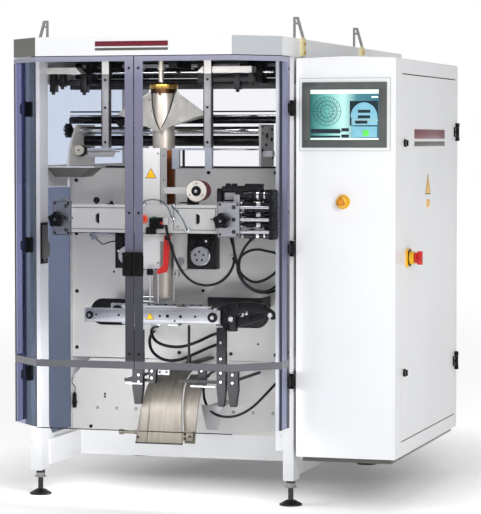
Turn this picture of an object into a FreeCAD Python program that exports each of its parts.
import FreeCAD, Part
import math
import os
import re
import Sketcher

# Vertical form fill seal machine, millimetres. Built in the machine's own axes: X = 0 on the middle
# of the hood, Y = 0 on the hood's front face, Z = 0 on the floor. Every finished piece is then moved
# by shift_x and shift_y, so that the origin is the middle of the machine's footprint on the floor.

FRONT_BEND_X = 144
FRONT_BEND_Y = 149
BEND_ANGLE = math.atan2(FRONT_BEND_X, FRONT_BEND_Y)

DIMENSIONS = {
    # footprint: foot pad on the left, switch handle on the right, door handle in front
    "left_end": -537, "right_end": 960, "front_end": -24,
    # hood
    "hood_half": 517, "hood_depth": 2057, "hood_bottom": 1652, "hood_top": 1720, "hood_skin": 4,
    "bend_x": FRONT_BEND_X, "bend_y": FRONT_BEND_Y,
    "miter_side": round(math.tan(BEND_ANGLE / 2), 4),
    "miter_front": round(math.tan(math.pi / 4 - BEND_ANGLE / 2), 4),
    # lifting lugs
    "lug_front": 417, "lug_rear": 1322, "lug_hidden": 1930, "lug_thick": 10, "lug_half": 20,
    "lug_low": 1656, "lug_high": 1722, "eye_high": 1802, "eye_inner": 484, "eye_outer": 504,
    "eye_bar": 8, "eye_cross": 1774,
    # frame
    "post_width": 40, "post_depth": 85, "post_wall": 5, "front_post": 305, "rear_post": 1490,
    "post_low": 95, "rail_width": 45, "rail_low": 110, "rail_high": 205, "beam_front": 721,
    "beam_depth": 60, "top_rail_high": 1716, "top_rail_width": 60, "cross_rail_y": 392,
    "tie_front": 700, "tie_depth": 50, "tie_low": 1545, "tie_high": 1585,
    # levelling feet
    "foot_pad": 42, "foot_spindle": 10, "foot_nut": 17, "foot_x": 495, "spindle_fit": 0.05,
    # walls and mounting plates
    "wall_inner": 505, "wall_thick": 3, "pane_gap": 1,
    "high_pane_front": 452, "high_pane_rear": 1321, "high_pane_low": 1253, "high_pane_high": 1560,
    "low_pane_front": 430, "low_pane_rear": 700, "low_pane_low": 215, "low_pane_high": 1168,
    "plate_front": 720, "plate_thick": 8, "plate_half": 504, "plate_low": 494, "plate_high": 1247,
    "lower_plate_high": 490, "corner_cut": 75,
    "slot_height": 674, "slot_round": 52, "left_slot": -340, "left_slot_reach": 38,
    "right_slot": 200, "right_slot_reach": 53,
    # doors
    "split": 5, "door_gap": 2, "door_high": 1649, "door_low": 299, "door_rear": 250,
    "strip_thick": 3, "glass_thick": 5, "stile_width": 32, "head_strip": 18,
    "band_low": 523, "band_high": 549, "hinge_x": 522, "hinge_y": 266, "hinge_pin": 5,
    "running_fit": 0.05, "knuckle": 8, "knuckle_half": 17.5, "ear_half": 28, "ear_inner": 18,
    "hinge_high": 1464, "hinge_mid": 953, "hinge_low": 468,
    "grip_low": 859, "grip_high": 945, "grip_width": 35, "grip_depth": 24,
    # electrical cabinet
    "cab_left": 532, "cab_right": 903, "cab_front": 284, "cab_rear": 1383, "cab_low": 190,
    "cab_high": 1642, "cab_skin": 3, "hatch_front": 391, "hatch_rear": 1336, "hatch_low": 246,
    "hatch_high": 1587, "hatch_depth": 23, "hatch_gap": 4, "cab_hinge_x": 911, "cab_hinge_y": 1347,
    "cab_hinge_high": 1380, "cab_hinge_low": 460, "cab_pin": 4, "cab_knuckle": 6,
    "lock_y": 425, "lock_high": 1337, "lock_low": 495, "lock_stem": 8,
    "surround_left": 546, "surround_right": 882, "surround_low": 1310, "surround_high": 1571,
    "surround_out": 3, "panel_left": 557, "panel_right": 870, "panel_low": 1322,
    "panel_high": 1556, "panel_out": 11, "screen_left": 587, "screen_right": 843,
    "screen_low": 1348, "screen_high": 1531, "stop_x": 708, "stop_z": 1124, "stop_collar": 26,
    "stop_cap": 20, "stop_stem": 11.9, "stop_bore": 12,
    "switch_y": 482, "switch_z": 915, "switch_half": 33, "switch_collar": 24, "switch_stem": 6,
    # bag making
    "mech_x": -42, "tube_y": 480, "tube_r": 42, "tube_wall": 2, "tube_low": 752,
    "tube_high": 1545, "hanger_reach": 202, "hanger_low": 1311,
    "hanger_half": 16, "hanger_front": 390, "leg_low": 1240, "leg_width": 27, "foot_plate": 7,
    "left_foot_start": -318, "left_foot_end": -202, "right_foot_start": 20, "right_foot_end": 176,
    "shelf_low": 1598, "shelf_high": 1622, "shelf_bevel": 24, "left_shelf_end": -341,
    "right_shelf_start": 115, "right_shelf_end": 330,
    "collar_reach": 180, "collar_low": 1385, "collar_tip": 1432, "collar_rear": 600,
    "roller_plate_left": -446, "roller_plate_right": 292, "roller_plate_front": 600,
    "roller_plate_rear": 800, "roller_plate_high": 1405, "roller_plate_nose": 1310, "roller_flare": 511,
    "roller_plate_thick": 8,
    "roller_y": 640, "roller_z": 1385, "roller_r": 15, "roller_pin": 6,
    "motor_flange": 441, "beam_y": 262, "beam_thick": 12, "bar_low": 1004, "bar_high": 1109,
    "bar_left": -360, "bar_right": 300, "clamp_thick": 14, "clamp_low": 992, "clamp_high": 1122,
    "knob_left": -381, "knob_right": 264, "knob_z": 1052, "knob_r": 30, "knob_stem": 6,
    "carriage_belt": 34, "belt_thick": 4, "belt_low": 890, "belt_high": 1080, "belt_half": 25,
    "belt_reach": 78, "slide_rod": 8, "slide_y": 545, "slide_z": 985,
    "pulley_z": 915, "pulley_r": 35, "drive_front": 385, "drive_half": 54,
    "drive_low": 866, "drive_high": 1000,
    "seal_half": 45, "seal_front": 300, "seal_rear": 380, "seal_low": 870, "seal_high": 1318,
    "bar_half": 15, "bar_y": 392, "bar_depth": 26, "seal_pin": 6,
    "lever_x": 36, "lever_z": 985, "lever_pin": 5, "reel_x": 150, "reel_z": 1160, "reel_r": 41,
    # cross jaws
    "jaw_left": -297, "jaw_right": 236, "jaw_low": 667, "jaw_high": 719, "jaw_front": 300,
    "jaw_thick": 12, "jaw_half": 110, "jaw_depth": 88, "rear_jaw_front": 560,
    "rod_left": -288, "rod_right": 198, "rod_z": 685, "rod_r": 12, "rod_end": 900,
    # outlet
    "chute_left": -104, "chute_right": 82, "chute_top_left": -63, "chute_top_right": 61,
    "chute_sheet": 3,
    # film reel at the back
    "arm_x": 474, "arm_end": 1900, "reel_shaft_y": 1850, "reel_shaft_z": 480,
    "reel_shaft_r": 20, "cone_r": 70,
    # cables
    "cable_r": 5,
}

document = FreeCAD.newDocument("VerticalFormFillSealer")
sheet = document.addObject("Spreadsheet::Sheet", "Sizes")
for row, (alias, size) in enumerate(DIMENSIONS.items(), start=1):
    sheet.set(f"A{row}", alias)
    sheet.set(f"B{row}", str(size))
    sheet.setAlias(f"B{row}", alias)
document.recompute()

SHIFT_X = "-(left_end + right_end) / 2"
SHIFT_Y = "-(front_end + hood_depth) / 2"
PLANE_ROLES = {"XY": "XY_Plane", "XZ": "XZ_Plane", "YZ": "YZ_Plane"}
TURN_TO = {
    "X": FreeCAD.Rotation(FreeCAD.Vector(0, 1, 0), 90),
    "Y": FreeCAD.Rotation(FreeCAD.Vector(1, 0, 0), -90),
    "Z": FreeCAD.Rotation(),
}
finished = {}


# ---------------------------------------------------------------- expressions

def words(text):
    """An expression written with the sheet's aliases, as the document spells it."""
    def spell(match):
        name = match.group(0)
        return f"Sizes.{name}" if name in DIMENSIONS else name
    return re.sub(r"[a-z][a-z_]*", spell, str(text))


def amount(text):
    """The number that an expression has now."""
    return float(sheet.evalExpression(words(text)))


def between(first, second):
    return tuple(sorted((first, second), key=amount))


def bind(thing, name, text):
    thing.setExpression(name, words(text))


def finish_node(label, thing):
    """Name a finished piece and move it to the machine's origin."""
    thing.Label = label
    bind(thing, "Placement.Base.x", SHIFT_X)
    bind(thing, "Placement.Base.y", SHIFT_Y)
    finished[label] = thing


# ---------------------------------------------------------------- primitives and booleans

def box(x, y, z):
    """A box between the two ends given for each axis."""
    block = document.addObject("Part::Box", "Block")
    for size, corner, (low, high) in zip(("Length", "Width", "Height"), "xyz", (x, y, z)):
        bind(block, size, f"({high}) - ({low})")
        bind(block, f"Placement.Base.{corner}", low)
    return block


def rod(axis, centre, radius, span):
    """A cylinder along an axis, centred on the other two coordinates, between two ends."""
    shaft = document.addObject("Part::Cylinder", "Rod")
    bind(shaft, "Radius", radius)
    bind(shaft, "Height", f"({span[1]}) - ({span[0]})")
    shaft.Placement = FreeCAD.Placement(FreeCAD.Vector(), TURN_TO[axis])
    others = iter(centre)
    for corner in "xyz":
        place = span[0] if corner == axis.lower() else next(others)
        bind(shaft, f"Placement.Base.{corner}", place)
    return shaft


def fuse(*solids):
    whole = document.addObject("Part::MultiFuse", "Joined")
    whole.Shapes = list(solids)
    return whole


def cut(base, *tools):
    result = document.addObject("Part::Cut", "Cut")
    result.Base = base
    result.Tool = tools[0] if len(tools) == 1 else fuse(*tools)
    return result


def group(label, *solids):
    """One node made of one or more separate solids."""
    collection = document.addObject("Part::Compound", "Group")
    collection.Links = list(solids)
    finish_node(label, collection)


def slab(x, z, ends, radius, y):
    """A round-ended slab upright in XZ, or lying along X, with its thickness along Y."""
    (first_x, first_z), (last_x, last_z) = (x[0], z[0]), (x[1], z[1])
    if ends == "upright":
        middle = box((f"{first_x} - ({radius})", f"{first_x} + ({radius})"), y, (first_z, last_z))
    else:
        middle = box((first_x, last_x), y, (f"{first_z} - ({radius})", f"{first_z} + ({radius})"))
    return fuse(middle, rod("Y", (first_x, first_z), radius, y), rod("Y", (last_x, last_z), radius, y))


# ---------------------------------------------------------------- sketches and features

def start_body():
    return document.addObject("PartDesign::Body", "Body")


def draw(body, plane, loops, offset=(0, 0, 0)):
    """A sketch of closed outlines. Each is a list of corners, or a circle's (x, y, radius)."""
    sketch = body.newObject("Sketcher::SketchObject", "Outline")
    role = PLANE_ROLES[plane]
    support = [f for f in body.Origin.OriginFeatures if f.Role == role][0]
    sketch.AttachmentSupport = [(support, "")]
    sketch.MapMode = "FlatFace"
    for corner, distance in zip("xyz", offset):
        bind(sketch, f"AttachmentOffset.Base.{corner}", distance)
    for loop in loops:
        if isinstance(loop, tuple):
            draw_circle(sketch, loop)
        else:
            draw_polygon(sketch, loop)
    return sketch


def pin_point(sketch, line, position, corner):
    """Hold a sketch point at its bound distances from the sketch's origin."""
    for kind, own_axis, text in zip(("DistanceX", "DistanceY"), (-2, -1), corner):
        distance = amount(text)
        if abs(distance) < 1e-9:
            sketch.addConstraint(Sketcher.Constraint("PointOnObject", line, position, own_axis))
        else:
            rule = Sketcher.Constraint(kind, -1, 1, line, position, distance)
            bind(sketch, f"Constraints[{sketch.addConstraint(rule)}]", text)


def draw_circle(sketch, loop):
    x, y, radius = loop
    centre = FreeCAD.Vector(amount(x), amount(y), 0)
    ring = sketch.addGeometry(Part.Circle(centre, FreeCAD.Vector(0, 0, 1), amount(radius)), False)
    pin_point(sketch, ring, 3, (x, y))
    rule = sketch.addConstraint(Sketcher.Constraint("Radius", ring, amount(radius)))
    bind(sketch, f"Constraints[{rule}]", radius)


def draw_polygon(sketch, corners):
    points = [FreeCAD.Vector(amount(x), amount(y), 0) for x, y in corners]
    lines = []
    for here, there in zip(points, points[1:] + points[:1]):
        lines.append(sketch.addGeometry(Part.LineSegment(here, there), False))
    for line, following in zip(lines, lines[1:] + lines[:1]):
        sketch.addConstraint(Sketcher.Constraint("Coincident", line, 2, following, 1))
    for line, corner in zip(lines, corners):
        pin_point(sketch, line, 1, corner)


def rectangle(across, up):
    (left, right), (low, high) = across, up
    return [(left, low), (right, low), (right, high), (left, high)]


def pad(body, plane, loops, span):
    """Material between the two ends of span, along the plane's normal axis."""
    start = f"-({span[1]})" if plane == "XZ" else span[0]
    feature = body.newObject("PartDesign::Pad", "Pad")
    feature.Profile = draw(body, plane, loops, (0, 0, start))
    bind(feature, "Length", f"({span[1]}) - ({span[0]})")


def pocket(body, plane, loops, span):
    """Material taken away between the two ends of span, along the plane's normal axis."""
    start = f"-({span[0]})" if plane == "XZ" else span[1]
    document.recompute()
    before = body.Shape.Volume
    feature = body.newObject("PartDesign::Pocket", "Pocket")
    feature.Profile = draw(body, plane, loops, (0, 0, start))
    bind(feature, "Length", f"({span[1]}) - ({span[0]})")
    document.recompute()
    if body.Shape.Volume >= before:
        raise ValueError("a pocket cut nothing")


def turn(body, plane, axis, corners, offset):
    """A turned piece: the outline goes round the sketch's own horizontal or vertical axis."""
    sketch = draw(body, plane, [corners], offset)
    feature = body.newObject("PartDesign::Revolution", "Turned")
    feature.Profile = sketch
    feature.ReferenceAxis = (sketch, [axis])
    feature.Angle = 360


# ---------------------------------------------------------------- frame and covers

def make_hood():
    """The cap: a folded tray with two bent front corners, open below."""
    body = start_body()

    def ring(inset):
        side = f"(hood_half - {inset})"
        front = f"(hood_half - bend_x - {inset} * miter_front)"
        bend = f"bend_y + {inset} * miter_side"
        return [
            (f"-{front}", inset), (front, inset), (side, bend), (side, f"hood_depth - {inset}"),
            (f"-{side}", f"hood_depth - {inset}"), (f"-{side}", bend),
        ]

    pad(body, "XY", [ring("0")], ("hood_bottom", "hood_top"))
    pocket(body, "XY", [ring("hood_skin")], ("hood_bottom", "hood_top - hood_skin"))
    finish_node("hood", body)


def post(side, front):
    """A square-tube leg with a threaded foot plate closing its lower end."""
    outer, inner = "hood_half", "hood_half - post_width"
    x = (inner, outer) if side > 0 else (f"-({outer})", f"-({inner})")
    back = f"{front} + post_depth"
    hollow = box(
        (f"{x[0]} + post_wall", f"{x[1]} - post_wall"),
        (f"{front} + post_wall", f"{back} - post_wall"),
        ("post_low + 2 * post_wall", "hood_bottom"),
    )
    bore = rod(
        "Z", (f"{side} * foot_x", f"{front} + post_depth / 2"), "foot_spindle + spindle_fit",
        ("post_low", "post_low + 2 * post_wall"),
    )
    return cut(box(x, (front, back), ("post_low", "hood_bottom")), hollow, bore)


def make_posts():
    posts = [post(side, front) for side in (-1, 1) for front in ("front_post", "rear_post")]
    group("corner_posts", *posts)


def make_rails():
    """Lower and upper rails, and the dark tie bar across the top of the workspace."""
    bars = []
    between_posts = ("front_post + post_depth", "rear_post")
    for side in (-1, 1):
        low = sorted((f"{side} * (hood_half - rail_width)", f"{side} * hood_half"), key=amount)
        bars.append(box(low, between_posts, ("rail_low", "rail_high")))
        high = sorted((f"{side} * (wall_inner - top_rail_width)", f"{side} * wall_inner"), key=amount)
        bars.append(box(high, ("front_post", "hood_depth - 17"), ("hood_bottom", "top_rail_high")))
    reach = ("-(hood_half - rail_width)", "hood_half - rail_width")
    bars.append(box(reach, ("beam_front", "beam_front + beam_depth"), ("rail_low", "rail_high")))
    rear_reach = ("-(hood_half - post_width)", "hood_half - post_width")
    bars.append(box(rear_reach, ("rear_post", "rear_post + beam_depth"), ("rail_low", "rail_high")))
    top_reach = ("-(wall_inner - top_rail_width)", "wall_inner - top_rail_width")
    for front in ("cross_rail_y", "rear_post", "hood_depth - 77"):
        span = (front, f"{front} + top_rail_width")
        bars.append(box(top_reach, span, ("hood_bottom", "top_rail_high")))
    tie = ("tie_front", "tie_front + tie_depth")
    bars.append(box(("-plate_half", "plate_half"), tie, ("tie_low", "tie_high")))
    group("frame_rails", *bars)


def make_feet():
    """Levelling feet: domed pad, threaded spindle and lock nut, four alike."""
    feet = []
    for side in (-1, 1):
        for front in ("front_post", "rear_post"):
            centre = (f"{side} * foot_x", f"{front} + post_depth / 2")
            dome = document.addObject("Part::Cone", "Dome")
            bind(dome, "Radius1", "foot_pad")
            bind(dome, "Radius2", "foot_nut")
            bind(dome, "Height", 14)
            for corner, place in zip("xyz", (*centre, 6)):
                bind(dome, f"Placement.Base.{corner}", place)
            feet.append(fuse(
                rod("Z", centre, "foot_pad", (0, 6)), dome,
                rod("Z", centre, "foot_spindle", (6, "post_low + 60")),
                rod("Z", centre, "foot_nut", ("post_low - 12", "post_low")),
            ))
    group("levelling_feet", *feet)


def make_lugs():
    """Lifting eyes: a bolted foot on the hood's side and a leaning loop whose inner leg stands on top."""
    lugs = []
    for side, middle in ((-1, "lug_front"), (-1, "lug_hidden"), (1, "lug_front"), (1, "lug_rear")):
        foot_x = between(f"{side} * hood_half", f"{side} * (hood_half + lug_thick)")
        foot = box(foot_x, (f"{middle} - lug_half", f"{middle} + lug_half"), ("lug_low", "lug_high"))
        loop = start_body()
        leg = "eye_inner + eye_bar"
        outline = [
            ("eye_inner", "hood_top"), ("eye_inner", "eye_high"), ("eye_outer", "eye_high"),
            ("hood_half + lug_thick", "lug_high"), ("hood_half", "lug_high"),
            ("eye_outer - eye_bar", "eye_high - eye_bar"), (leg, "eye_high - eye_bar"),
            (leg, "hood_top"),
        ]
        corners = [(f"{side} * ({x})", z) for x, z in outline]
        thick = (f"{middle} - eye_bar / 2", f"{middle} + eye_bar / 2")
        pad(loop, "XZ", [corners], thick)
        cross_x = between(f"{side} * eye_inner", f"{side} * (eye_outer + 2)")
        cross = box(cross_x, thick, ("eye_cross", "eye_cross + eye_bar"))
        lugs.append(fuse(foot, loop, cross))
    group("lifting_lugs", *lugs)


def make_side_panels():
    """The left wall has two window openings with panes; the right wall is plain."""
    between_posts = ("front_post + post_depth", "rear_post")
    height = ("rail_high", "hood_bottom")
    left = ("-(wall_inner + wall_thick)", "-wall_inner")
    panes = {
        "left_upper_window": ("high_pane_front", "high_pane_rear", "high_pane_low", "high_pane_high"),
        "left_lower_window": ("low_pane_front", "low_pane_rear", "low_pane_low", "low_pane_high"),
    }
    holes = []
    for label, (front, rear, low, high) in panes.items():
        holes.append(box(left, (front, rear), (low, high)))
        y = (f"{front} + pane_gap", f"{rear} - pane_gap")
        group(label, box(left, y, (f"{low} + pane_gap", f"{high} - pane_gap")))
    right = ("wall_inner", "wall_inner + wall_thick")
    group("side_panels", cut(box(left, between_posts, height), *holes),
          box(right, between_posts, height))


def make_plates():
    """The upper mounting plate with its two jaw slots, and the lower plate with a cut corner."""
    depth = ("plate_front", "plate_front + plate_thick")
    upper = box(("-plate_half", "plate_half"), depth, ("plate_low", "plate_high"))
    slots = []
    for centre, reach in (("left_slot", "left_slot_reach"), ("right_slot", "right_slot_reach")):
        ends = (f"{centre} - {reach}", f"{centre} + {reach}")
        slots.append(slab(ends, ("slot_height", "slot_height"), "lying", "slot_round", depth))
    group("mounting_plate", cut(upper, *slots))
    body = start_body()
    outline = [
        ("-plate_half", "rail_high"), ("plate_half", "rail_high"),
        ("plate_half", "lower_plate_high"), ("-plate_half + corner_cut", "lower_plate_high"),
        ("-plate_half", "lower_plate_high - corner_cut"),
    ]
    pad(body, "XZ", [outline], depth)
    finish_node("lower_plate", body)


# ---------------------------------------------------------------- guard doors

def wrap(side, inset, rear, stop):
    """The door's plan line, inset from the hood's outline, from the hinge edge to the middle."""
    return [
        (f"{side} * (hood_half - {inset})", rear),
        (f"{side} * (hood_half - {inset})", f"bend_y + {inset} * miter_side"),
        (f"{side} * (hood_half - bend_x - {inset} * miter_front)", inset),
        (stop, inset),
    ]


def bent_sheet(side, outer, inner, rear):
    """A closed plan outline for a bent sheet between two insets."""
    stop = f"split + {side} * door_gap"
    return wrap(side, outer, rear, stop) + wrap(side, inner, rear, stop)[::-1]


def make_door(name, side):
    """A bent guard door: strips outside, clear sheet behind them, three knuckles, a grip."""
    frame = start_body()
    whole = ("door_low", "door_high")
    edge = between(f"{side} * (hood_half - strip_thick)", f"{side} * hood_half")
    pad(frame, "XY", [rectangle(edge, ("door_rear - 27", "door_rear"))], whole)
    strip = bent_sheet(side, "0", "strip_thick", "door_rear")
    pad(frame, "XY", [strip], ("door_high - head_strip", "door_high"))
    pad(frame, "XY", [strip], ("band_low", "band_high"))
    stile = between(f"split + {side} * door_gap", f"split + {side} * (door_gap + stile_width)")
    pad(frame, "XY", [rectangle(stile, (0, "strip_thick"))], ("band_low", "door_high"))
    leaf = between(f"{side} * hood_half", f"{side} * (hood_half + strip_thick)")
    pin = (f"{side} * hinge_x", "hinge_y")
    for level in ("hinge_low", "hinge_mid", "hinge_high"):
        span = (f"{level} - knuckle_half", f"{level} + knuckle_half")
        pad(frame, "XY", [rectangle(leaf, ("door_rear - 20", "hinge_y - 6"))], span)
        pad(frame, "XY", [(*pin, "knuckle")], span)
        pocket(frame, "XY", [(*pin, "hinge_pin + running_fit")], span)
    finish_node(f"{name}_door_frame", frame)

    glass = start_body()
    sheet_plan = bent_sheet(side, "strip_thick", "(strip_thick + glass_thick)", "door_rear")
    pad(glass, "XY", [sheet_plan], ("door_low", "door_high - 1"))
    finish_node(f"{name}_door_glass", glass)

    grip = start_body()
    width = between(f"split + {side} * door_gap", f"split + {side} * (door_gap + grip_width)")
    pad(grip, "XY", [rectangle(width, ("-grip_depth", 0))], ("grip_low", "grip_high"))
    pull = between(
        f"split + {side} * (door_gap + grip_width - 9)", f"split + {side} * (door_gap + grip_width)"
    )
    hollow = [rectangle(pull, ("-grip_depth + 7", "-5"))]
    pocket(grip, "XY", hollow, ("grip_low + 14", "grip_high - 14"))
    finish_node(f"{name}_door_handle", grip)


def make_hinges():
    """Black hinge brackets on the front posts, each with two ears and a pin."""
    brackets = []
    for side in (-1, 1):
        for level in ("hinge_low", "hinge_mid", "hinge_high"):
            height = (f"{level} - ear_half", f"{level} + ear_half")
            root = between(f"{side} * wall_inner", f"{side} * (hinge_x + 9)")
            ear = between(f"{side} * (hinge_x - 9)", f"{side} * (hinge_x + 9)")
            ear_y = ("hinge_y - 9", "front_post - 29")
            brackets.append(fuse(
                box(root, ("front_post - 29", "front_post"), height),
                box(ear, ear_y, (f"{level} + ear_inner", height[1])),
                box(ear, ear_y, (height[0], f"{level} - ear_inner")),
                rod("Z", (f"{side} * hinge_x", "hinge_y"), "hinge_pin", height),
            ))
    group("door_hinges", *brackets)


# ---------------------------------------------------------------- electrical cabinet

def make_cabinet_shell():
    """The folded cabinet: side opening, operator panel surround, hinge ears and pins."""
    outer = box(("cab_left", "cab_right"), ("cab_front", "cab_rear"), ("cab_low", "cab_high"))
    hollow = box(
        ("cab_left + cab_skin", "cab_right - cab_skin"),
        ("cab_front + cab_skin", "cab_rear - cab_skin"),
        ("cab_low + cab_skin", "cab_high - cab_skin"),
    )
    opening = box(
        ("cab_right - 2 * cab_skin", "cab_right"),
        ("hatch_front - hatch_gap", "hatch_rear + hatch_gap"),
        ("hatch_low - hatch_gap", "hatch_high + hatch_gap"),
    )
    stem_hole = rod("Y", ("stop_x", "stop_z"), "stop_bore", ("cab_front", "cab_front + cab_skin"))
    shell = cut(outer, hollow, opening, stem_hole)
    added = [box(
        ("surround_left", "surround_right"), ("cab_front - surround_out", "cab_front"),
        ("surround_low", "surround_high"),
    )]
    for level in (500, 1500):
        spacer_y = ("front_post + 15", "front_post + 65")
        added.append(box(("hood_half", "cab_left"), spacer_y, (level, f"{level} + 50")))
    for level in ("cab_hinge_low", "cab_hinge_high"):
        plate = ("cab_right", "cab_right + 3")
        added.append(box(plate, ("cab_hinge_y + 6", "cab_hinge_y + 33"),
                         (f"{level} - 35", f"{level} + 35")))
        for low, high in ((-35, -20), (20, 35)):
            span = (f"{level} + {low}", f"{level} + {high}")
            added.append(box(("cab_right", "cab_hinge_x + 6"),
                             ("cab_hinge_y - 6", "cab_hinge_y + 7"), span))
        added.append(rod("Z", ("cab_hinge_x", "cab_hinge_y"), "cab_pin",
                         (f"{level} - 35", f"{level} + 35")))
    group("cabinet_shell", fuse(shell, *added))


def make_cabinet_door():
    """The side door: a folded tray with lock and switch holes and two hinge knuckles."""
    tray = box(("cab_right - hatch_depth", "cab_right"), ("hatch_front", "hatch_rear"),
               ("hatch_low", "hatch_high"))
    hollow = box(
        ("cab_right - hatch_depth", "cab_right - cab_skin"),
        ("hatch_front + cab_skin", "hatch_rear - cab_skin"),
        ("hatch_low + cab_skin", "hatch_high - cab_skin"),
    )
    skin = ("cab_right - cab_skin", "cab_right")
    holes = [rod("X", ("lock_y", level), "lock_stem + running_fit", skin)
             for level in ("lock_low", "lock_high")]
    added = []
    bores = []
    for level in ("cab_hinge_low", "cab_hinge_high"):
        span = (f"{level} - 19.5", f"{level} + 19.5")
        added.append(box(("cab_right", "cab_right + 4"), ("hatch_rear - 26", "hatch_rear"), span))
        added.append(box(("cab_right + 1", "cab_right + 4"), ("hatch_rear", "cab_hinge_y - 2"), span))
        added.append(rod("Z", ("cab_hinge_x", "cab_hinge_y"), "cab_knuckle", span))
        bores.append(rod("Z", ("cab_hinge_x", "cab_hinge_y"), "cab_pin + running_fit", span))
    group("cabinet_door", cut(fuse(cut(tray, hollow, *holes), *added), *bores))


def make_lock(label, level):
    """A quarter-turn lock: outer knob, stem through the door skin, inner cam."""
    inner = "cab_right - hatch_depth"
    group(label, fuse(
        rod("X", ("lock_y", level), 14, ("cab_right + 0.5", "cab_right + 8")),
        box(("cab_right + 8", "cab_right + 15"), ("lock_y - 3", "lock_y + 3"),
            (f"{level} - 11", f"{level} + 11")),
        rod("X", ("lock_y", level), "lock_stem", (f"{inner} - 5", "cab_right + 1")),
        box((f"{inner} - 5", f"{inner} - 1"), ("lock_y - 8", "lock_y + 8"),
            (f"{level} - 8", f"{level} + 44")),
    ))


def make_electrical_panel():
    """The back plate inside the cabinet with drives, controller and terminals on rails."""
    solids = [fuse(
        box(("cab_left + 9", "cab_left + 12"), (420, 1320), (280, 1560)),
        *[box(("cab_left + cab_skin", "cab_left + 9"), (y, y + 40), (z, z + 40))
          for y in (430, 1270) for z in (290, 1510)],
    )]
    face = "cab_left + 12"
    rows = ((1290, 200, 150, 6), (1010, 170, 120, 7), (760, 90, 60, 9), (420, 240, 170, 4))
    for low, height, depth, count in rows:
        pitch = 840 / count
        for index in range(count):
            start = 450 + pitch * index
            solids.append(box((face, f"{face} + {depth}"), (start, start + pitch - 12),
                              (low, low + height)))
    group("electrical_panel", *solids)


def make_operator_panel():
    """Operator terminal: grey bezel with a recess, and the screen in it."""
    face = "cab_front - panel_out"
    bezel = box(("panel_left", "panel_right"), (face, "cab_front - surround_out"),
                ("panel_low", "panel_high"))
    recess = box(("screen_left", "screen_right"), (face, f"{face} + 3"),
                 ("screen_low", "screen_high"))
    group("operator_bezel", cut(bezel, recess))
    group("operator_screen", box(("screen_left", "screen_right"), (f"{face} + 1", f"{face} + 3"),
                                 ("screen_low", "screen_high")))


def make_emergency_stop():
    """Mushroom button on a stem that slides in a round collar."""
    collar = start_body()
    turn(collar, "XY", "V_Axis", [
        ("stop_bore", "cab_front - 7"), ("stop_collar - 3", "cab_front - 7"),
        ("stop_collar", "cab_front - 4"), ("stop_collar", "cab_front"), ("stop_bore", "cab_front"),
    ], ("stop_x", 0, "stop_z"))
    finish_node("stop_collar", collar)
    button = start_body()
    turn(button, "XY", "V_Axis", [
        (0, "cab_front - 36"), ("stop_cap - 6", "cab_front - 34"), ("stop_cap", "cab_front - 28"),
        ("stop_cap", "cab_front - 20"), ("stop_stem", "cab_front - 15"),
        ("stop_stem", "cab_front + 14"), (0, "cab_front + 14"),
    ], ("stop_x", 0, "stop_z"))
    finish_node("stop_button", button)


def make_main_switch():
    """Rotary main switch on the side door: square plate, collar, turning handle."""
    y = ("switch_y - switch_half", "switch_y + switch_half")
    z = ("switch_z - switch_half", "switch_z + switch_half")
    base = fuse(
        box(("cab_right", "cab_right + 8"), y, z),
        rod("X", ("switch_y", "switch_z"), "switch_collar", ("cab_right + 8", "cab_right + 27")),
    )
    bore = rod("X", ("switch_y", "switch_z"), "switch_stem + running_fit",
               ("cab_right + 10", "cab_right + 27"))
    group("main_switch_plate", cut(base, bore))
    group("main_switch_handle", fuse(
        rod("X", ("switch_y", "switch_z"), "switch_stem", ("cab_right + 12", "cab_right + 28")),
        rod("X", ("switch_y", "switch_z"), "switch_collar - 4", ("cab_right + 28", "cab_right + 38")),
        box(("cab_right + 38", "right_end"), ("switch_y - 7", "switch_y + 7"),
            ("switch_z - 26", "switch_z + 26")),
    ))


# ---------------------------------------------------------------- forming set and rollers

def make_hangers():
    """Two hanging bars, each with a bevelled shelf near the hood and a foot at its lower end."""
    bar_y = ("hanger_front", "hanger_front + 20")
    shelf_y = ("cross_rail_y", "cross_rail_y + top_rail_width")
    shelf_plans = {
        -1: [("-wall_inner", "shelf_low"), ("left_shelf_end", "shelf_low"),
             ("left_shelf_end - shelf_bevel", "shelf_high"), ("-wall_inner", "shelf_high")],
        1: [("right_shelf_start", "shelf_low"), ("right_shelf_end", "shelf_low"),
            ("right_shelf_end", "shelf_high"), ("right_shelf_start + shelf_bevel", "shelf_high")],
    }
    feet = {-1: ("left_foot_start", "left_foot_end"), 1: ("right_foot_start", "right_foot_end")}
    arms = []
    for side, plan in shelf_plans.items():
        middle = f"mech_x + {side} * hanger_reach"
        bar_x = (f"{middle} - hanger_half", f"{middle} + hanger_half")
        shelf = start_body()
        pad(shelf, "XZ", [plan], shelf_y)
        arms.append(shelf)
        arms.append(box(bar_x, bar_y, ("hanger_low", "hood_bottom")))
        arms.append(box(feet[side], bar_y, ("hanger_low", "hanger_low + foot_plate")))
    legs = (
        ("right_foot_start", "right_foot_start + leg_width"),
        ("right_foot_end - leg_width", "right_foot_end"),
    )
    arms += [box(leg, bar_y, ("leg_low", "hanger_low")) for leg in legs]
    group("hangers", fuse(*arms))


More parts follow.
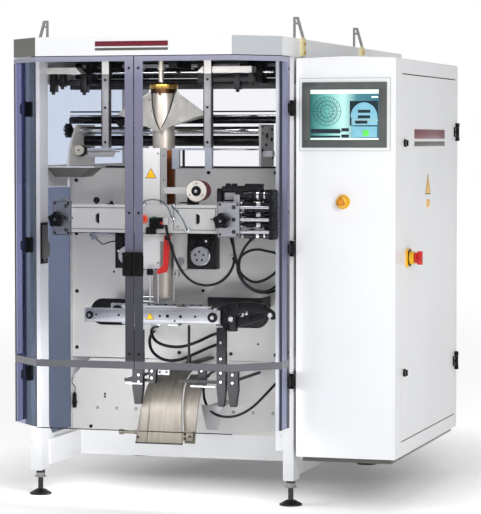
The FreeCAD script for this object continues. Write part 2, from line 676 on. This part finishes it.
def make_forming_set():
    """The forming tube, and the collar whose two wings fold the film round it."""
    tube = start_body()
    turn(tube, "XZ", "V_Axis", [
        ("tube_r - tube_wall", "tube_low"), ("tube_r", "tube_low"), ("tube_r", "tube_high"),
        ("tube_r + 10", "tube_high"), ("tube_r + 10", "tube_high + 9"),
        ("tube_r - tube_wall", "tube_high + 9"),
    ], ("mech_x", 0, "-tube_y"))
    finish_node("forming_tube", tube)

    collar = document.addObject("Part::Feature", "Collar")
    middle = amount("mech_x")
    tip = FreeCAD.Vector(middle, amount("tube_y") - 76, amount("collar_low"))
    wings = None
    for side in (-1, 1):
        wing_end = FreeCAD.Vector(middle + side * amount("collar_reach"), 478, amount("collar_tip"))
        crown = FreeCAD.Vector(middle, amount("tube_y") + 30, amount("tube_high") - 8)
        tail = FreeCAD.Vector(middle, amount("collar_rear"), amount("collar_tip") - 22)
        for corners in ((tip, wing_end, crown), (crown, wing_end, tail)):
            face = Part.Face(Part.makePolygon([*corners, corners[0]]))
            normal = face.normalAt(0, 0)
            if normal.z < 0:
                normal = -normal
            plate = face.extrude(normal * -3)
            wings = plate if wings is None else wings.fuse(plate)
    reach = Part.makeCylinder(
        amount("tube_r") + 1.5, 300,
        FreeCAD.Vector(middle, amount("tube_y"), amount("collar_low") - 60),
    )
    collar.Shape = wings.cut(reach)
    finish_node("forming_collar", collar)


def make_film_rollers():
    """Side plates with tie rods, and one turning roller with its hand knob."""
    plate_fronts = {
        "roller_plate_left": [("roller_plate_front", "roller_plate_high"),
                              ("roller_flare + 12", "roller_plate_nose"),
                              ("roller_flare", "plate_high")],
        "roller_plate_right": [("roller_plate_front + 21", "roller_plate_high"),
                               ("roller_plate_front + 21", "plate_high")],
    }
    solids = []
    for near, front in plate_fronts.items():
        body = start_body()
        rear = [("roller_plate_rear", "plate_high"), ("roller_plate_rear", "roller_plate_high")]
        span = (near, f"{near} + roller_plate_thick")
        pad(body, "YZ", [front + rear], span)
        pocket(body, "YZ", [("roller_y", "roller_z", "roller_pin + running_fit")], span)
        solids.append(body)
    inside = ("roller_plate_left + roller_plate_thick", "roller_plate_right")
    solids.append(rod("X", (690, 1345), 20, inside))
    solids.append(rod("X", (765, 1350), 12, inside))
    solids.append(rod("X", (770, 1388), 9, inside))
    group("roller_frame", *solids)
    roller = start_body()
    barrel_end = "roller_plate_right - 4"
    turn(roller, "XZ", "H_Axis", [
        ("roller_plate_left - 56", 0), ("roller_plate_left - 56", 22), ("roller_plate_left - 50", 27),
        ("roller_plate_left - 34", 27), ("roller_plate_left - 28", "roller_pin"),
        (f"{inside[0]} + 4", "roller_pin"), (f"{inside[0]} + 4", "roller_r"),
        (barrel_end, "roller_r"), (barrel_end, "roller_pin"),
        ("roller_plate_right + 14", "roller_pin"), ("roller_plate_right + 14", 0),
    ], (0, "roller_z", "-roller_y"))
    finish_node("film_roller", roller)


# ---------------------------------------------------------------- film pull unit

def make_pull_beam():
    """The light beam across the front with two D slots, its end clamps and its rods."""
    depth = ("beam_y", "beam_y + beam_thick")
    beam = box(("bar_left", "bar_right"), depth, ("bar_low", "bar_high"))
    slots = []
    for middle, side in ((-223, -1), (154, 1)):
        flat = between(middle, f"{middle} + {side} * 16")
        disc = rod("Y", (middle, 1057), 20, depth)
        common = document.addObject("Part::Common", "SlotD")
        common.Base = disc
        common.Tool = box(flat, depth, (1030, 1084))
        slots.append(common)
    elbow = box((33, 51), ("beam_y - 18", "beam_y"), (1036, 1060))
    group("pull_unit_beam", fuse(cut(beam, *slots), elbow))

    clamps = []
    for left, right, knob, holes in (
        (-403, -331, "knob_left", (-350,)), (243, 328, "knob_right", (305,)),
    ):
        clamp_y = ("beam_y - clamp_thick", "beam_y")
        plate = box((left, right), clamp_y, ("clamp_low", "clamp_high"))
        bores = [rod("Y", (knob, "knob_z"), "knob_stem + running_fit", clamp_y)]
        for hole in holes:
            for level in (1012, 1057, 1102):
                bores.append(rod("Y", (hole, level), 5, clamp_y))
        clamps.append(cut(plate, *bores))
    group("beam_clamps", *clamps)

    rails = []
    for middle in (-345, 285):
        rails.append(rod("Y", (middle, 1056), 14, ("beam_y + beam_thick", "plate_front")))
        rails.append(box((middle - 10, middle + 10), ("slide_y - 12", "slide_y + 12"),
                         ("slide_z - 20", 1056)))
    rails.append(rod("X", ("slide_y", "slide_z"), "slide_rod", (-345, 285)))
    links = [rod("X", ("beam_y - 7", level), 6, (328, "motor_flange"))
             for level in (1012, 1057, 1102)]
    group("slide_rods", fuse(*rails), *links)


def make_knob(label, middle):
    """A five-lobed clamping knob on a stem."""
    body = start_body()
    y = ("beam_y - clamp_thick - 34", "beam_y - clamp_thick - 8")
    pad(body, "XZ", [(middle, "knob_z", "knob_r - 6")], y)
    pad(body, "XZ", [(middle, "knob_z", 13)], (y[1], f"{y[1]} + 7"))
    pad(body, "XZ", [(middle, "knob_z", "knob_stem")], (f"{y[1]} + 6", "beam_y - 3"))
    for index in range(5):
        angle = math.radians(90 + 72 * index)
        across = f"{middle} + (knob_r - 9) * {math.cos(angle):.4f}"
        up = f"knob_z + (knob_r - 9) * {math.sin(angle):.4f}"
        pad(body, "XZ", [(across, up, 9)], y)
    finish_node(label, body)


def belt_loop(middle, radius, y):
    return slab((middle, middle), ("belt_low", "belt_high"), "upright", radius, y)


def make_carriage(name, side, pulley_out):
    """One film pull carriage: belt over two rollers, slide boss, drive box and pulley."""
    middle = f"(mech_x + {side} * belt_reach)"
    belt_y = ("tube_y - belt_half", "tube_y + belt_half")
    outer = "carriage_belt + 2"
    belt = cut(belt_loop(middle, "carriage_belt", belt_y),
               belt_loop(middle, "carriage_belt - belt_thick", belt_y))
    group(f"{name}_pull_belt", belt)

    cheek_x = (f"{middle} - 26", f"{middle} + 26")
    cheek_z = ("belt_low - 30", "belt_high + 30")
    inner_edge = f"mech_x + {side} * (belt_reach - 24)"
    front = "tube_y - belt_half - 2"
    boss_x = (f"{middle} - 20", f"{middle} + 20")
    pulley_x = f"{inner_edge} + {side} * {pulley_out}"
    drive_x = (f"{pulley_x} - drive_half", f"{pulley_x} + drive_half")
    pieces = [
        box(cheek_x, (f"{front} - 12", front), cheek_z),
        box(cheek_x, ("tube_y + belt_half + 2", "tube_y + belt_half + 10"), cheek_z),
        box(boss_x, ("tube_y + belt_half + 10", "slide_y + 15"), ("slide_z - 20", "slide_z + 20")),
        box(drive_x, ("drive_front", f"{front} - 12"), ("drive_low", "drive_high")),
        box(between(inner_edge, pulley_x), (f"{front} - 36", f"{front} - 12"),
            ("drive_high - 45", "drive_high")),
    ]
    for level in ("belt_low", "belt_high"):
        pieces.append(rod("Y", (middle, level), f"{outer} - belt_thick - 2.5",
                          (front, "tube_y + belt_half + 2")))
    bores = (
        rod("X", ("slide_y", "slide_z"), "slide_rod + running_fit", boss_x),
        rod("Y", (pulley_x, "pulley_z"), "8 + running_fit", ("drive_front", 421)),
    )
    group(f"{name}_belt_carriage", cut(fuse(*pieces), *bores))

    pulley = start_body()
    turn(pulley, "XY", "V_Axis", [
        (0, 360), ("pulley_r - 3", 360), ("pulley_r", 363), ("pulley_r", 366), ("pulley_r - 4", 368),
        ("pulley_r - 4", 378), ("pulley_r", 380), ("pulley_r", 383), (8, 383), (8, 419), (0, 419),
    ], (pulley_x, 0, "pulley_z"))
    finish_node(f"{name}_drive_pulley", pulley)


def make_belt_gearmotor():
    """The black drive block at the right end of the beam."""
    group("belt_gearmotor", fuse(
        box(("motor_flange", 455), (240, 420), (985, 1165)),
        box((400, "motor_flange + 1"), (318, 420), (985, 1165)),
        box((225, 401), (318, 360), (1122, 1165)),
    ))


# ---------------------------------------------------------------- vertical sealer

def make_vertical_sealer():
    """Housing in front of the tube, the sealing bar that slides out of its back, the lever."""
    x = ("mech_x - seal_half", "mech_x + seal_half")
    pin_levels = (980, 1220)
    arm_y = ("seal_rear - 28", "seal_rear - 14")
    housing = fuse(
        box(x, ("seal_front", "seal_rear"), ("seal_low", "seal_high")),
        box(("mech_x - 18", "mech_x + 22"), ("beam_y + beam_thick", "seal_front"), (1030, 1080)),
        box((x[1], "lever_x + 14"), ("seal_front", "seal_front + 15"), (972, 998)),
        rod("Y", ("lever_x", "lever_z"), "lever_pin", ("seal_front - 15", "seal_front")),
        box((x[1], "reel_x + 14"), arm_y, ("reel_z - 12", "reel_z + 12")),
    )
    bores = [rod("Y", ("mech_x", level), "seal_pin + running_fit", ("seal_rear - 35", "seal_rear"))
             for level in pin_levels]
    bores.append(rod("Y", ("reel_x", "reel_z"), "6 + running_fit", arm_y))
    group("vertical_seal_housing", cut(housing, *bores))
    group("vertical_seal_bar", fuse(
        box(("mech_x - bar_half", "mech_x + bar_half"), ("bar_y", "bar_y + bar_depth"), (900, 1290)),
        *[rod("Y", ("mech_x", level), "seal_pin", ("seal_rear - 32", "bar_y"))
          for level in pin_levels],
    ))
    lever_y = ("seal_front - 13", "seal_front - 3")
    arm = start_body()
    pad(arm, "XZ", [[("lever_x - 13", "lever_z + 10"), ("lever_x + 11", "lever_z + 10"),
                     ("lever_x + 2", 878), ("lever_x - 18", 878)]], lever_y)
    pad(arm, "XZ", [[("lever_x + 2", 882), ("lever_x - 4", 858), ("lever_x - 40", 850),
                     ("lever_x - 42", 864), ("lever_x - 18", 882)]], lever_y)
    pocket(arm, "XZ", [("lever_x", "lever_z", "lever_pin + running_fit")], lever_y)
    finish_node("red_lever", arm)
    reel = start_body()
    turn(reel, "XY", "V_Axis", [
        (0, 284), (17, 284), (17, 288), ("reel_r", 288), ("reel_r", 296), (30, 296), (30, 342),
        ("reel_r - 4", 342), ("reel_r - 4", 349), (6, 349), (6, 374), (0, 374),
    ], ("reel_x", 0, "reel_z"))
    finish_node("ribbon_reel", reel)


# ---------------------------------------------------------------- cross jaws

def make_jaws():
    """Front jaw on two rods, rear jaw sliding on them, and the yoke behind the wall."""
    block_x = ("mech_x - jaw_half", "mech_x + jaw_half")
    block_z = ("jaw_low - 7", "jaw_high - 7")
    back = "jaw_front + jaw_thick"
    group("front_jaw", fuse(
        box(("jaw_left", "jaw_right"), ("jaw_front", back), ("jaw_low", "jaw_high")),
        box((-60, 190), ("jaw_front + 4", "jaw_front + 24"), ("jaw_high", "jaw_high + 9")),
        box(block_x, (back, f"{back} + jaw_depth - 14"), block_z),
        box(("mech_x - jaw_half + 12", "mech_x + jaw_half - 12"),
            (f"{back} + jaw_depth - 14", f"{back} + jaw_depth"), ("rod_z - 16", "rod_z + 16")),
    ))
    yoke = box(("rod_left - 20", "rod_right + 20"), ("rod_end", "rod_end + 20"),
               ("rod_z - 20", "rod_z + 20"))
    group("jaw_rods", fuse(yoke, *[rod("Y", (x, "rod_z"), "rod_r", (back, "rod_end"))
                                   for x in ("rod_left", "rod_right")]))
    head_y = ("rear_jaw_front + 80", "rear_jaw_front + 102")
    bores = [rod("Y", (x, "rod_z"), "rod_r + running_fit", head_y)
             for x in ("rod_left", "rod_right")]
    rear = fuse(
        box(("rod_left - 26", "rod_right + 26"), head_y, ("rod_z - 28", "rod_z + 28")),
        box(block_x, ("rear_jaw_front + 14", head_y[0]), block_z),
        box(("mech_x - jaw_half + 12", "mech_x + jaw_half - 12"),
            ("rear_jaw_front", "rear_jaw_front + 14"), ("rod_z - 16", "rod_z + 16")),
    )
    group("rear_jaw", cut(rear, *bores))


def make_jaw_gearmotor():
    """Gearbox and motor that drive the jaws, on a shelf behind the mounting plate."""
    back = "plate_front + plate_thick"
    group("jaw_gearmotor", fuse(
        box((-142, 58), (back, 960), (740, 752)),
        box((-110, 26), (800, 940), (752, 900)),
        rod("X", (870, 830), 62, (26, 230)),
        rod("X", (870, 830), 24, (-150, -110)),
    ))


# ---------------------------------------------------------------- outlet

def make_chute():
    """The bright bag chute: a sheet that leans forward and then drops, on a rear bracket."""
    outer = [(560, 486), (455, 462), (335, 330), (325, 215)]
    chute = document.addObject("Part::Feature", "Chute")
    start, crest, shoulder, lip = [FreeCAD.Vector(0, y, z) for y, z in outer]
    bulge = FreeCAD.Vector(0, 375, 417)
    edges = [Part.LineSegment(start, crest), Part.Arc(crest, bulge, shoulder),
             Part.LineSegment(shoulder, lip)]
    front = Part.Wire([edge.toShape() for edge in edges])
    band = front.makeOffset2D(-amount("chute_sheet"), fill=True, openResult=True)
    left, right = amount("chute_left"), amount("chute_right")
    band.translate(FreeCAD.Vector(left, 0, 0))
    solid = band.extrude(FreeCAD.Vector(right - left, 0, 0))
    sides = [(left, 200), (right, 200), (amount("chute_top_right"), 500),
             (amount("chute_top_left"), 500)]
    outline = [FreeCAD.Vector(x, 250, z) for x, z in sides]
    taper = Part.Face(Part.makePolygon([*outline, outline[0]]))
    solid = solid.common(taper.extrude(FreeCAD.Vector(0, 400, 0)))
    bracket = Part.makeBox(40, 720 - 540, 6, FreeCAD.Vector(-60, 540, 466))
    chute.Shape = solid.fuse(bracket).removeSplitter()
    finish_node("discharge_chute", chute)


def make_chute_arms():
    """Tapered black arms beside the outlet, on two light cross bars with rods to the wall."""
    arms = []
    for left, right, low, high in ((-106, -65, 362, 640), (-45, -10, 440, 505),
                                   (224, 258, 362, 655), (266, 306, 362, 505)):
        body = start_body()
        taper = (right - left) * 0.22
        profile = [
            (left + taper, low), (right - taper, low), (right, low + 60), (right, high),
            (left, high), (left, low + 60),
        ]
        pad(body, "XZ", [profile], (295, 320))
        arms.append(body)
    for bar_x, rod_x in (((-146, -6), -138), ((66, 300), 264)):
        arms.append(fuse(
            box(bar_x, (320, 328), (444, 456)),
            rod("Y", (rod_x, 450), 6, (328, "plate_front")),
        ))
    group("chute_arms", *arms)


# ---------------------------------------------------------------- film reel at the back

def make_reel():
    """Two arms behind the rear posts carry the film reel's shaft with its centring cones."""
    arms = []
    for side in (-1, 1):
        x = between(f"{side} * arm_x", f"{side} * (arm_x + 12)")
        arm = box(x, ("rear_post + post_depth", "arm_end"),
                  ("reel_shaft_z - 40", "reel_shaft_z + 40"))
        bore = rod("X", ("reel_shaft_y", "reel_shaft_z"), "reel_shaft_r + running_fit", x)
        arms.append(cut(arm, bore))
    group("reel_arms", *arms)
    shaft = start_body()
    end = "arm_x + 10"
    turn(shaft, "XZ", "H_Axis", [
        (f"-({end})", 0), (f"-({end})", "reel_shaft_r"), (-300, "reel_shaft_r"), (-300, "cone_r"),
        (-270, "cone_r"), (-225, 38), (-225, "reel_shaft_r"), (225, "reel_shaft_r"), (225, 38),
        (270, "cone_r"), (300, "cone_r"), (300, "reel_shaft_r"), (end, "reel_shaft_r"), (end, 0),
    ], (0, "reel_shaft_z", "-reel_shaft_y"))
    finish_node("reel_shaft", shaft)


# ---------------------------------------------------------------- cables

def cable_path(points):
    """Straight runs joined by tangent arcs as large as the runs allow."""
    spots = [FreeCAD.Vector(*point) for point in points]
    edges = []
    radii = []
    start = spots[0]
    for before, corner, after in zip(spots, spots[1:], spots[2:]):
        back = before - corner
        ahead = after - corner
        reach = 0.45 * min(back.Length, ahead.Length)
        half_turn = (math.pi - back.getAngle(ahead)) / 2
        radii.append(reach / math.tan(half_turn))
        back.normalize()
        ahead.normalize()
        leave = corner + back * reach
        join = corner + ahead * reach
        middle = back + ahead
        middle.normalize()
        depth = radii[-1] / math.cos(half_turn) - radii[-1]
        edges.append(Part.LineSegment(start, leave).toShape())
        edges.append(Part.Arc(leave, corner + middle * depth, join).toShape())
        start = join
    edges.append(Part.LineSegment(start, spots[-1]).toShape())
    return Part.Wire(edges), radii


def make_cable(label, points):
    path, radii = cable_path(points)
    first = FreeCAD.Vector(*points[0])
    along = FreeCAD.Vector(*points[1]) - first
    ring = Part.Wire([Part.Circle(first, along, amount("cable_r")).toShape()])
    tube = path.makePipeShell([ring], True, False)
    section = math.pi * amount("cable_r") ** 2
    print(f"{label}: length {path.Length:.0f}, volume ratio {tube.Volume / section / path.Length:.4f}, "
          f"least radius {min(radii):.0f}")
    cable = document.addObject("Part::Feature", "Cable")
    cable.Shape = tube
    finish_node(label, cable)


def make_cables():
    """Three black cables, each held at both ends."""
    make_cable("drive_cable", [
        (42, 253, 1036), (46, 256, 1000), (56, 270, 955), (68, 290, 900), (90, 312, 850),
        (128, 326, 815), (180, 332, 806), (232, 333, 822), (272, 333, 864), (286, 334, 920),
        (270, 335, 978), (252, 336, 1035), (246, 335, 1088), (248, 335, 1122),
    ])
    make_cable("motor_cable", [
        (400, 330, 1008), (370, 331, 1000), (335, 333, 972), (306, 335, 928), (296, 336, 876),
        (312, 338, 826), (352, 343, 792), (402, 355, 786), (440, 380, 815), (452, 425, 858),
        (455, 485, 880), (452, 560, 884), (448, 640, 876), (446, 720, 880),
    ])
    make_cable("outlet_cable", [
        (84, 720, 452), (82, 660, 448), (84, 600, 432), (92, 545, 398), (112, 505, 350),
        (150, 484, 312), (205, 478, 300), (262, 480, 312), (316, 484, 348), (362, 492, 398),
        (398, 512, 440), (424, 550, 466), (438, 600, 478), (444, 660, 480), (446, 720, 478),
    ])


def build():
    make_hood()
    make_posts()
    make_rails()
    make_feet()
    make_lugs()
    make_side_panels()
    make_plates()
    make_door("left", -1)
    make_door("right", 1)
    make_hinges()
    make_cabinet_shell()
    make_cabinet_door()
    make_lock("upper_lock", "lock_high")
    make_lock("lower_lock", "lock_low")
    make_electrical_panel()
    make_operator_panel()
    make_emergency_stop()
    make_main_switch()
    make_hangers()
    make_forming_set()
    make_film_rollers()
    make_pull_beam()
    make_knob("left_clamp_knob", "knob_left")
    make_knob("right_clamp_knob", "knob_right")
    make_carriage("left", -1, 54)
    make_carriage("right", 1, 125)
    make_belt_gearmotor()
    make_vertical_sealer()
    make_jaws()
    make_jaw_gearmotor()
    make_chute()
    make_chute_arms()
    make_reel()
    make_cables()


def export():
    """Check every object, then write one file for each piece."""
    document.recompute()
    for thing in document.Objects:
        if "Invalid" in thing.State or "Error" in thing.State:
            raise ValueError(f"{thing.Name} failed: {thing.State}")
    os.makedirs("parts", exist_ok=True)
    for label, thing in finished.items():
        shape = thing.Shape
        if shape.isNull() or not shape.isValid() or not shape.Solids:
            raise ValueError(f"{label} has no valid shape")
        shape.exportStep(f"parts/{label}.step")
    print(len(finished), "pieces")


build()
export()
